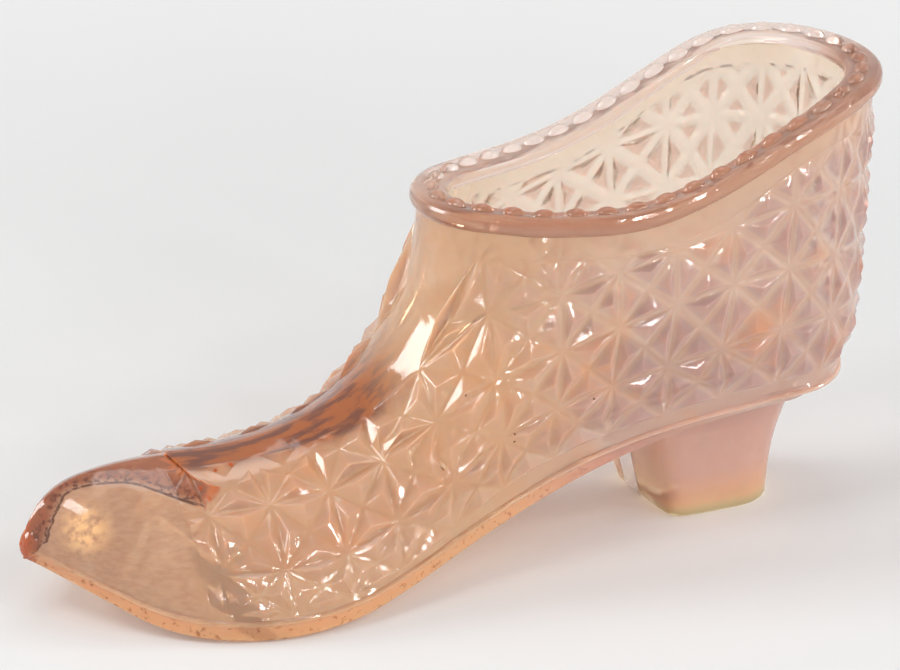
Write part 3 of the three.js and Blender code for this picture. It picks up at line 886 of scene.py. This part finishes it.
# Cloudy noise in the piece's own place, a share from 0 to 1. A larger stretch makes it finer that way
def clouds(tree, size, low, high, detail=3.0, stretch=(1, 1, 1)):
    where = tree.nodes.new("ShaderNodeTexCoord")
    turn = tree.nodes.new("ShaderNodeMapping")
    turn.inputs["Scale"].default_value = stretch
    tree.links.new(where.outputs["Object"], turn.inputs["Vector"])
    noise = node(tree, "ShaderNodeTexNoise", Scale=1 / (size * MM), Detail=detail)
    tree.links.new(turn.outputs["Vector"], noise.inputs["Vector"])
    return share_of(tree, noise.outputs["Fac"], low, high)


# The uneven surface that the mould leaves: slow hollows and fine ripples, with heights in millimetres
def make_glass_wave():
    group = bpy.data.node_groups.new("glass_wave", "ShaderNodeTree")
    for name in ("Hollow Height", "Ripple Height"):
        group.interface.new_socket(name, in_out="INPUT", socket_type="NodeSocketFloat")
    group.interface.new_socket("Normal", in_out="OUTPUT", socket_type="NodeSocketVector")
    enter = group.nodes.new("NodeGroupInput")
    leave = group.nodes.new("NodeGroupOutput")
    where = group.nodes.new("ShaderNodeTexCoord")
    height = group.nodes.new("ShaderNodeMath")
    height.operation = "ADD"
    waves = (("Hollow Height", HOLLOW_SIZE, 1.0), ("Ripple Height", RIPPLE_SIZE, 4.0))
    for k, (name, size, detail) in enumerate(waves):
        noise = node(group, "ShaderNodeTexNoise", Scale=1 / (size * MM), Detail=detail, Roughness=0.68)
        group.links.new(where.outputs["Object"], noise.inputs["Vector"])
        part = group.nodes.new("ShaderNodeMath")
        part.operation = "MULTIPLY"
        group.links.new(noise.outputs["Fac"], part.inputs[0])
        group.links.new(enter.outputs[name], part.inputs[1])
        group.links.new(part.outputs[0], height.inputs[k])
    bump = node(group, "ShaderNodeBump", Strength=1.0, Distance=MM)
    group.links.new(height.outputs[0], bump.inputs["Height"])
    group.links.new(bump.outputs["Normal"], leave.inputs["Normal"])
    return group


GLASS_WAVE = make_glass_wave()


# Opalescent glass: clear glass with a share of milky glass that scatters the light. Lamps reach through
# it, tinted
def opal(name, clear, milky, milk, lets_through, hollows, ripples):
    material = bpy.data.materials.new(name)
    material.use_nodes = True
    tree = material.node_tree
    glass = tree.nodes["Principled BSDF"]
    milk_glass = tree.nodes.new("ShaderNodeBsdfPrincipled")
    mix = tree.nodes.new("ShaderNodeMixShader")
    wave = tree.nodes.new("ShaderNodeGroup")
    wave.node_tree = GLASS_WAVE
    wave.inputs["Hollow Height"].default_value = hollows
    wave.inputs["Ripple Height"].default_value = ripples
    for shader, tint in ((glass, clear), (milk_glass, milky)):
        shader.inputs["Roughness"].default_value = GLASS_ROUGHNESS
        shader.inputs["IOR"].default_value = GLASS_IOR
        feed(tree, shader.inputs["Base Color"], tint(tree))
        tree.links.new(wave.outputs["Normal"], shader.inputs["Normal"])
    glass.inputs["Transmission Weight"].default_value = 1
    milk_glass.inputs["Subsurface Weight"].default_value = 1
    milk_glass.inputs["Subsurface Radius"].default_value = SCATTER_RADIUS
    milk_glass.inputs["Subsurface Scale"].default_value = SCATTER_DEPTH * MM
    # From inside the glass the milk is thinner, so that the far wall glows
    facing = tree.nodes.new("ShaderNodeNewGeometry")
    thinned = times(tree, facing.outputs["Backfacing"], THINNER_FROM_INSIDE)
    share = times(tree, milk(tree), sum_of(tree, "SUBTRACT", 1.0, thinned))
    tree.links.new(share, mix.inputs["Fac"])
    tree.links.new(glass.outputs[0], mix.inputs[1])
    tree.links.new(milk_glass.outputs[0], mix.inputs[2])
    light_through = node(tree, "ShaderNodeBsdfTransparent", Color=colour(lets_through))
    path = tree.nodes.new("ShaderNodeLightPath")
    for_lamps = tree.nodes.new("ShaderNodeMixShader")
    tree.links.new(path.outputs["Is Shadow Ray"], for_lamps.inputs["Fac"])
    tree.links.new(mix.outputs[0], for_lamps.inputs[1])
    tree.links.new(light_through.outputs[0], for_lamps.inputs[2])
    tree.links.new(for_lamps.outputs[0], tree.nodes["Material Output"].inputs["Surface"])
    return material


# A soft spot round a place on the near side
def spot(tree, place_mm, inner, outer):
    return share_of(tree, measured(tree, "DISTANCE", to_frame(place_mm)), outer * MM, inner * MM)


def spots(tree, places, heart=SPOT_HEART):
    share = 0.0
    for place_mm, size in places:
        share = sum_of(tree, "MAXIMUM", share, spot(tree, place_mm, size * heart, size))
    return share


# The thin dark line on the toe cap, with grain in the brown glass above it
def line_share(tree):
    from_line = attribute(tree, "above_toe_line")
    thin = share_of(tree, off_zero(tree, from_line), 0.42, 0.1)
    broken = times(tree, thin, clouds(tree, 1.5, 0.2, 0.5))
    fading = times(tree, share_of(tree, from_line, 5, 0.2), 0.95)
    above = times(tree, fading, share_of(tree, from_line, -0.1, 0.2))
    grain = times(tree, above, clouds(tree, 0.9, 0.4, 0.62, detail=6))
    return times(tree, sum_of(tree, "MAXIMUM", broken, grain), attribute(tree, "toe_cap"))


def brown_toe(tree):
    above = share_of(tree, attribute(tree, "above_toe_line"), -0.4, 1.4)
    return times(tree, above, attribute(tree, "toe_cap"))


def petals(tree):
    return share_of(tree, attribute(tree, "lift"), PATTERN_LIFT + 0.06, PATTERN_LIFT + 0.36)


# Rose tint on the tops of the petals, seen from inside the glass: partly the thicker milky glass, partly
# painted reflection off the steep facets
def rose_petals_and_reflection(tree):
    hearts = share_of(tree, attribute(tree, "lift"), PATTERN_LIFT + 0.28, PATTERN_LIFT + 0.5)
    return times(tree, hearts, attribute(tree, "lilac"))


# Broken dark line along the pattern's upper edge on the far side, where it shows through the wall
def border_dashes(tree):
    thin = share_of(tree, off_zero(tree, attribute(tree, "above_pattern")), 0.35, 0.12)
    dashes = times(tree, thin, clouds(tree, 2.2, 0.48, 0.58))
    return times(tree, dashes, attribute(tree, "far_side"))


# The edge of the step between toe cap and crest band
def step_line(tree):
    cap = attribute(tree, "toe_cap")
    edge = times(tree, cap, sum_of(tree, "SUBTRACT", 1.0, cap))
    return times(tree, share_of(tree, edge, 0.08, 0.25), attribute(tree, "on_step"))


# The marks that show in both the clear and the milky glass
def marked(tree, body):
    return layered(tree, body, [
        (times(tree, line_share(tree), 0.85), "4e281c"), (spots(tree, ORANGE_SPECKS), "b0501c"),
        (step_line(tree), "b8683a"), (spots(tree, DARK_FLAWS), "6a3c26"),
    ])


def outer_clear(tree):
    warm = mixed(tree, attribute(tree, "lilac"), colour("eccaa0"), colour("fbeedf"))
    return marked(tree, layered(tree, warm, [
        (rose_petals_and_reflection(tree), "d8a898"), (border_dashes(tree), "6c6468"), ("toe_cap", "ecc8a0"),
        (brown_toe(tree), "c4885c"), ("crest", "a86430"), ("sole_edge", "ecb680"),
        # The heel's foot: amber tint, lightened as a painted glow of light gathered in the solid heel
        ("heel_foot_amber_and_glow", "f8e2b4"), ("toe_nub", "c87444"),
    ]))


def outer_milky(tree):
    tan = mixed(tree, petals(tree), colour("c09778"), colour("bc957c"))
    lilac = mixed(tree, petals(tree), colour("bb9888"), colour("a98a84"))
    body = mixed(tree, attribute(tree, "lilac"), tan, lilac)
    amber = times(tree, clouds(tree, 9, 0.5, 0.75), 0.45)
    haze = times(tree, spots(tree, AMBER_HAZE, 0.0), clouds(tree, 2.5, 0.2, 0.8, detail=8))
    body = layered(tree, body, [(amber, "cc9064"), (times(tree, haze, 0.8), "cc8c5c")])
    coarse = clouds(tree, 1.2, 0.3, 0.7, detail=8, stretch=(0.6, 1, 2))
    grain = mixed(tree, coarse, colour("c0987a"), colour("b68c70"))
    body = mixed(tree, attribute(tree, "toe_cap"), body, grain)
    # Painted glow: a warm bright patch on the toe cap, light gathered in the glass painted into the
    # colour
    painted_glow = times(tree, spot(tree, PAINTED_GLOW_PATCH, 0.5, 5.5), clouds(tree, 1.6, 0.3, 0.6))
    body = layered(tree, body, [(painted_glow, "ffcf98"), (brown_toe(tree), "985c40")])
    streaks = clouds(tree, 2.4, 0.42, 0.6, detail=8, stretch=(0.3, 1.6, 1))
    crest = mixed(tree, streaks, colour("a05c30"), colour("744634"))
    body = mixed(tree, attribute(tree, "crest"), body, crest)
    flecks = mixed(tree, clouds(tree, 1.1, 0.56, 0.7), colour("d8a074"), colour("a8693f"))
    arch = mixed(tree, attribute(tree, "lilac"), flecks, colour("bc8478"))
    body = mixed(tree, attribute(tree, "sole_edge"), body, arch)
    body = layered(tree, body, [("heel", "c29a8c")])
    # The heel's foot: amber tint and painted glow, with a pale yellow painted glow along its bottom edge
    foot = mixed(tree, attribute(tree, "heel_edge_glow"), colour("d2a07c"), colour("ecd0a0"))
    body = mixed(tree, attribute(tree, "heel_foot_amber_and_glow"), body, foot)
    return marked(tree, layered(tree, body, [("toe_nub", "a8562e")]))


# How milky the outside is: cloudy, and milkier in some regions
def outer_milk(tree):
    share = mixed(tree, clouds(tree, 14, 0.35, 0.7), grey(0.56), grey(0.68))
    more_milk = {"fore": 0.1, "milky_seat": 0.16, "toe_cap": 0.12, "crest": 0.32, "heel": 0.2}
    for name, more in more_milk.items():
        share = sum_of(tree, "ADD", share, times(tree, attribute(tree, name), more))
    share = sum_of(tree, "ADD", share, line_share(tree))
    return sum_of(tree, "SUBTRACT", share, times(tree, attribute(tree, "heel_clear"), 0.5))


# The near side of the rim is painted darker brown and the far side paler and clearer: painted shade from
# how light passes the roll on each side, not a change in the glass
def rim_milky(tree):
    return mixed(tree, attribute(tree, "far_side"), colour("a0705a"), colour("d8bcb0"))


def rim_clear(tree):
    return mixed(tree, attribute(tree, "far_side"), colour("d8aa90"), colour("f8ece4"))


def rim_milk(tree):
    return sum_of(tree, "SUBTRACT", 0.55, times(tree, attribute(tree, "far_side"), 0.3))


def inner_clear(tree):
    return colour("fdf2e2")


def inner_milky(tree):
    return colour("f2e0cc")


def inner_milk(tree):
    return 0.15


FINISHES = {
    "outer": opal("opal_outer", outer_clear, outer_milky, outer_milk, "aea4a2", 0.1, 0.035),
    "inner": opal("opal_inner", inner_clear, inner_milky, inner_milk, "f4f0ee", 0, 0.035),
    "rim": opal("rim_roll", rim_clear, rim_milky, rim_milk, "d0b8ae", 0.12, 0.04),
}


# Every body carries all finishes in the same order, so that its faces keep theirs when bodies are joined
def faced(body, finish):
    body.data.materials.clear()
    for material in FINISHES.values():
        body.data.materials.append(material)
    index = np.full(len(body.data.polygons), list(FINISHES).index(finish), np.int32)
    body.data.polygons.foreach_set("material_index", index)
    return body


# A thin plain band over the ridge of the vamp, with a step where the toe cap ends
def crest_band(skin):
    start = along([(-11, 29), (-9.4, 28.3), (-5.4, 25.8), (0, 23.8)])
    top = np.empty((BAND_ROWS, BAND_COLUMNS, 3))
    root = np.empty_like(top)
    for i, share in enumerate(np.linspace(0, 1, BAND_ROWS)):
        for j, side in enumerate(np.linspace(-1, 1, BAND_COLUMNS)):
            s = lerp(start(-abs(side) * BAND_HALF_FRONT), BAND_END, share)
            y = side * lerp(BAND_HALF_FRONT, BAND_HALF_BACK, smoothly(28, 60, s))
            hit, normal, _, _ = skin.ray_cast(Vector(to_frame([s, y, 100])), Vector((0, 0, -1)))
            hit = from_frame(hit)
            # The band sinks into the skin at its sides and its back end
            lift = CREST_LIFT * (1 - smoothly(45, 60, s)) - 0.35 * smoothly(0.8, 1, abs(side))
            lift -= 0.2 * smoothly(56, BAND_END, s)
            top[i, j] = hit + np.array(normal) * lift
            root[i, j] = hit - np.array(normal) * PATTERN_ROOT
    band = grid("crest_band", BAND_ROWS, BAND_COLUMNS)
    edit_all()
    bpy.ops.mesh.extrude_region_move(TRANSFORM_OT_translate={"value": (0, 0, 1)})
    bpy.ops.object.mode_set(mode="OBJECT")
    flat = coordinates(band.data)
    corners = grid_places(flat, BAND_ROWS, BAND_COLUMNS)
    place(band.data, np.where(flat[:, 2:] > 0.5, top[corners], root[corners]))
    close_up(band)
    return band


def toe_nub():
    middle = to_frame(NUB_PLACE)
    bpy.ops.mesh.primitive_uv_sphere_add(segments=32, ring_count=16, radius=MM, location=middle)
    nub = bpy.context.object
    bpy.ops.object.mode_set(mode="EDIT")
    bpy.ops.transform.resize(value=NUB_HALF_SIZES)
    bpy.ops.transform.rotate(value=math.radians(NUB_LEAN), orient_axis="Y", center_override=middle)
    bpy.ops.object.mode_set(mode="OBJECT")
    bpy.ops.object.transform_apply(location=True, rotation=True, scale=True)
    close_up(nub)
    return nub


# ---- The slipper ----
slipper = faced(outside(), "outer")
skin = BVHTree.FromObject(slipper, bpy.context.evaluated_depsgraph_get())
combine(slipper, faced(hollow(), "inner"), "DIFFERENCE")
combine(slipper, faced(crest_band(skin), "outer"), "UNION")
for make, finish in ((pattern, "outer"), (beaded_rim, "rim"), (heel_block, "outer"), (toe_nub, "outer")):
    combine(slipper, faced(make(), finish), "UNION")
slipper.name = slipper.data.name = "pressed_slipper"

# How far each point stands out from the plain skin, and its share of each region, for the colours
points = coordinates(slipper.data)
lift = []
for point in points:
    near_point, normal, _, distance = skin.find_nearest(Vector(point))
    outward = (Vector(point) - near_point).dot(normal) > 0
    lift.append((distance if outward else -distance) / MM)
s, y, z = from_frame(points).T
above_welt = z - welt_height(s)
at_heel = smoothly(HEEL_FRONT - 4, HEEL_FRONT, s)
below_welt = (1 - smoothly(-6, -4, above_welt)) * at_heel
cap_end = along([
    (0, 21.1), (5.5, 21.1), (11.1, 21.4), (17.8, 25.7), (19.7, 28.3), (21.1, 25.8), (22.7, 23.8),
    (30, 23.8),
])
on_crest = 1 - smoothly(0, 3, np.abs(y) - crest_half(s) - 0.5)
near_ridge = smoothly(-9, -4, z - ridge_height(s))
toe_cap = 1 - smoothly(-0.3, 0.3, s - cap_end(z))
near_side = np.stack([s, -np.abs(y), z], -1)
toe_line = np.array(TOE_LINE)
best = np.full(len(s), np.inf)
above_line = np.empty(len(s))
for a, b in zip(toe_line[:-1], toe_line[1:]):
    share = np.clip((near_side - a) @ (b - a) / ((b - a) @ (b - a)), 0, 1)
    gap = near_side - (a + share[:, None] * (b - a))
    away = np.linalg.norm(gap, axis=1)
    side = np.where(gap[:, 2] + 0.6 * gap[:, 1] - 0.5 * gap[:, 0] > 0, 1, -1)
    above_line = np.where(away < best, away * side, above_line)
    best = np.minimum(best, away)
regions = {
    "lift": lift,
    "above_toe_line": above_line,
    "far_side": smoothly(-6, 10, y),
    "lilac": smoothly(70, 98, s) * (1 - 0.6 * smoothly(-9, -1, z - wall_top(s))),
    "toe_cap": toe_cap,
    "crest": on_crest * near_ridge * (1 - toe_cap) * (1 - smoothly(55, 66, s)),
    "sole_edge": (1 - smoothly(-1, 0.2, above_welt)) * (1 - smoothly(90, 125, s)),
    "heel": (1 - smoothly(-6, -2, above_welt)) * at_heel,
    # The heel's foot, amber and painted brighter as a glow, and its bottom edge, where a pale painted
    # glow lies
    "heel_foot_amber_and_glow": (1 - smoothly(1, 9, z)) * at_heel,
    "heel_edge_glow": (1 - smoothly(1.2, 3, z)) * at_heel,
    "heel_clear": below_welt * np.maximum(1 - smoothly(1.2, 3, z), 0.8 - 0.8 * smoothly(106, 109.5, s)),
    "fore": 1 - smoothly(40, 70, s),
    "milky_seat": smoothly(70, 98, s) * (1 - smoothly(12, 26, above_welt)),
    "on_step": smoothly(17.5, 19, z),
    "toe_nub": 1 - smoothly(1, 3, np.hypot(np.hypot(s + 0.2, y * 0.9), (z - 11.2) * 0.5)),
    "above_pattern": z - pattern_top(s),
}
for name, values in regions.items():
    made = slipper.data.attributes.new(name, "FLOAT", "POINT")
    made.data.foreach_set("value", np.array(values, np.float32))

only(slipper)
bpy.ops.object.shade_smooth_by_angle(angle=math.radians(20))
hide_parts("glass_slipper")
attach(slipper, "root")

# ---- Studio: sizes and distances in metres ----
FLOOR_SIZE = 6
PAPER_GREY = 0.665
PAPER_ROUGHNESS = 0.7
FAR_GLOW = 0.26
FAR_GLOW_REACH = (0.1, 0.8)
BACK_GLOW = 0.12
BACK_GLOW_REACH = (0.1, 0.35)
BACK_RIGHT = (0.75, 0.66, 0)
bpy.ops.mesh.primitive_plane_add(size=FLOOR_SIZE)
floor = bpy.context.object
floor.name = "floor"
floor_material = bpy.data.materials.new("pale_paper")
floor_material.use_nodes = True
tree = floor_material.node_tree
paper = tree.nodes["Principled BSDF"]
paper.inputs["Base Color"].default_value = grey(PAPER_GREY)
paper.inputs["Roughness"].default_value = PAPER_ROUGHNESS
# The lamps reach the far paper less, and least at the back right, so it is seen a little brighter than
# they leave it
far = share_of(tree, measured(tree, "LENGTH"), *FAR_GLOW_REACH)
evened = mixed(tree, far, grey(0), grey(FAR_GLOW))
at_back = share_of(tree, measured(tree, "DOT_PRODUCT", BACK_RIGHT), *BACK_GLOW_REACH)
evened = mixed(tree, at_back, evened, grey(BACK_GLOW), "ADD")
tree.links.new(evened, paper.inputs["Emission Color"])
paper.inputs["Emission Strength"].default_value = 1
floor.data.materials.append(floor_material)


# Puts an object at a distance from the target, in the direction given by azimuth and elevation, and
# turns it towards the target
def aimed_at(thing, target, azimuth, elevation, distance):
    a, e = math.radians(azimuth), math.radians(elevation)
    way = Vector((math.sin(a) * math.cos(e), -math.cos(a) * math.cos(e), math.sin(e)))
    thing.location = target + way * distance
    thing.rotation_euler = (-way).to_track_quat("-Z", "Y").to_euler()
    bpy.context.collection.objects.link(thing)


MIDDLE = Vector((0, 0, 0.035))


# A soft box in a direction given as on a compass: 0 is in front, -90 is off the toe
def soft_box(name, azimuth, elevation, distance, size, brightness):
    data = bpy.data.lights.new(name, "AREA")
    data.size = size
    data.energy = brightness * math.pi * size ** 2
    made = bpy.data.objects.new(name, data)
    aimed_at(made, MIDDLE, azimuth, elevation, distance)


soft_box("back_window", 150, 72, 0.9, 0.34, 2.6)
soft_box("left_window", -118, 24, 0.8, 0.32, 12.5)
soft_box("toe_softbox", -78, 54, 0.8, 0.22, 10)
soft_box("right_softbox", 75, 30, 0.9, 0.14, 18)
# Small lamps round the front, for the glints on the points of the pattern
GLINT_DISTANCE = 0.9
GLINT_SIZE = 0.06
GLINT_BRIGHTNESS = 44
GLINTS = [
    (25, 17), (35, 5), (5, 20), (-12, 9), (5, 37), (58, 30), (40, 40), (48, 8), (28, 28), (15, 10),
    (70, 18), (-28, 14), (20, 48),
]
for number, (azimuth, elevation) in enumerate(GLINTS):
    soft_box("glint_%d" % (number + 1), azimuth, elevation, GLINT_DISTANCE, GLINT_SIZE, GLINT_BRIGHTNESS)

# The glass shows the bright studio, which lights the object less than it looks
LIGHT_OF_STUDIO = 0.35
SIGHT_OF_STUDIO = 0.86
world = bpy.data.worlds.new("studio")
bpy.context.scene.world = world
world.use_nodes = True
tree = world.node_tree
background = tree.nodes["Background"]
background.inputs["Color"].default_value = (1, 1, 1, 1)
path = tree.nodes.new("ShaderNodeLightPath")
seen = sum_of(tree, "MAXIMUM", path.outputs["Is Camera Ray"], path.outputs["Is Glossy Ray"])
seen = sum_of(tree, "MAXIMUM", seen, path.outputs["Is Transmission Ray"])
strength = node(tree, "ShaderNodeMapRange", To_Min=LIGHT_OF_STUDIO, To_Max=SIGHT_OF_STUDIO)
tree.links.new(seen, strength.inputs["Value"])
tree.links.new(strength.outputs["Result"], background.inputs["Strength"])

# ---- Camera: in millimetres and degrees, as fitted to the photo ----
CAMERA_TARGET = Vector((-0.424, 0, 34.577)) * MM
CAMERA_AZIMUTH = -25
CAMERA_ELEVATION = 21.5
CAMERA_DISTANCE = 620
camera_data = bpy.data.cameras.new("camera")
camera_data.sensor_width = 36
camera_data.lens = 155.744
camera_data.clip_start = 0.01
camera_data.clip_end = 20
camera = bpy.data.objects.new("camera", camera_data)
aimed_at(camera, CAMERA_TARGET, CAMERA_AZIMUTH, CAMERA_ELEVATION, CAMERA_DISTANCE * MM)
bpy.context.scene.camera = camera

bpy.context.scene.view_settings.view_transform = "Standard"
